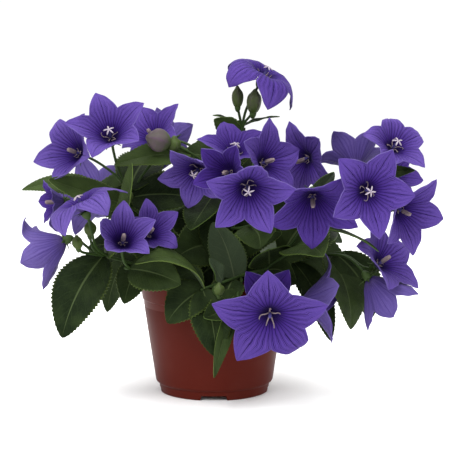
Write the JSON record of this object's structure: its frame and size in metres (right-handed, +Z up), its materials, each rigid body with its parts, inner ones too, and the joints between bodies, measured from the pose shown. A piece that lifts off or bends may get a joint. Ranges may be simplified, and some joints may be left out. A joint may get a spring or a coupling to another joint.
{
  "type": "potted balloon flower",
  "caption": "Compact balloon flower with violet-blue star-shaped bells, round buds and saw-edged leaves, growing in a tapered terracotta-red plastic nursery pot.",
  "frame": {"origin": "middle of the whole plant's and pot's box from above, at the height of the pot's foot ring, which stands on z = 0", "axes": "+Z up, +X to the right of someone who faces the side shown in the picture, which is also the longest extent, +Y away from them"},
  "size_m": [0.2886, 0.2436, 0.2349],
  "materials": {
    "petal": "matte, dark veins from the throat, paler edges and backs",
    "pistil": "matte cream",
    "foliage": "satin dark green, paler ribs and edges",
    "pot_plastic": "satin terracotta red",
    "soil": "rough dark peat"
  },
  "bodies": {
    "root": {"bloom_a": "petal", "bloom_b": "petal", "bloom_back_a": "petal", "bloom_back_b": "petal", "bloom_c": "petal", "bloom_d": "petal", "bloom_e": "petal", "bloom_f": "petal", "bloom_g": "petal", "bloom_h": "petal", "bloom_i": "petal", "bloom_j": "petal", "bloom_k": "petal", "bloom_l": "petal", "bloom_m": "petal", "bloom_n": "petal", "bloom_o": "petal", "bloom_p": "petal", "bloom_q": "petal", "bloom_r": "petal", "bloom_s": "petal", "bloom_t": "petal", "bloom_u": "petal", "bloom_v": "petal", "bloom_w": "petal", "bloom_x": "petal", "bloom_y": "petal", "bloom_z": "petal", "pistil_a": "pistil", "pistil_b": "pistil", "pistil_back_a": "pistil", "pistil_c": "pistil", "pistil_d": "pistil", "pistil_g": "pistil", "pistil_i": "pistil", "pistil_j": "pistil", "pistil_k": "pistil", "pistil_l": "pistil", "pistil_m": "pistil", "pistil_n": "pistil", "pistil_o": "pistil", "pistil_p": "pistil", "pistil_q": "pistil", "pistil_r": "pistil", "pistil_t": "pistil", "pistil_w": "pistil", "pistil_z": "pistil", "pot": "pot_plastic", "soil": "soil", "stem_back_left": "foliage", "stem_back_right": "foliage", "stem_centre": "foliage", "stem_front_left": "foliage", "stem_front_low": "foliage", "stem_left_front": "foliage", "stem_left_high": "foliage", "stem_right_front": "foliage", "stem_right_high": "foliage", "stem_right_low": "foliage", "stem_top": "foliage"}
  },
  "joints": []
}
